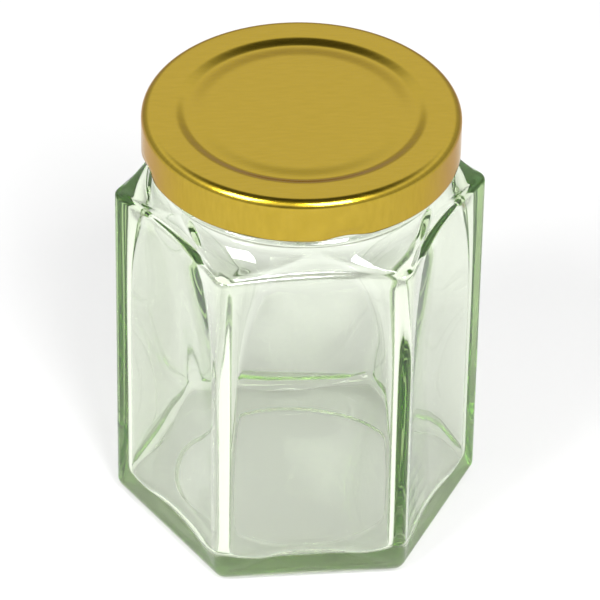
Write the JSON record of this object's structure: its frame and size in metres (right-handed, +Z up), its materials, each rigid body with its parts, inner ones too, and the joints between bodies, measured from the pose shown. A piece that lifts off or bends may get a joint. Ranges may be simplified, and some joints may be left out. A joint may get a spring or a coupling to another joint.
{
  "type": "hexagonal preserving jar",
  "caption": "Empty six-sided glass preserving jar with hollowed panels, a round neck and a pressed twist-off lid.",
  "frame": {"origin": "middle of the base, on the surface that the jar stands on", "axes": "+Z up through the mouth and the lid; a panel faces -Y, and two corners lie on the X axis"},
  "size_m": [0.0764, 0.067, 0.0972],
  "materials": {
    "green_glass": "clear, faintly green, polished",
    "gold_lacquer": "satin gold lacquer on tinplate"
  },
  "bodies": {
    "root": {"jar": "green_glass", "lid": "gold_lacquer"}
  },
  "joints": []
}
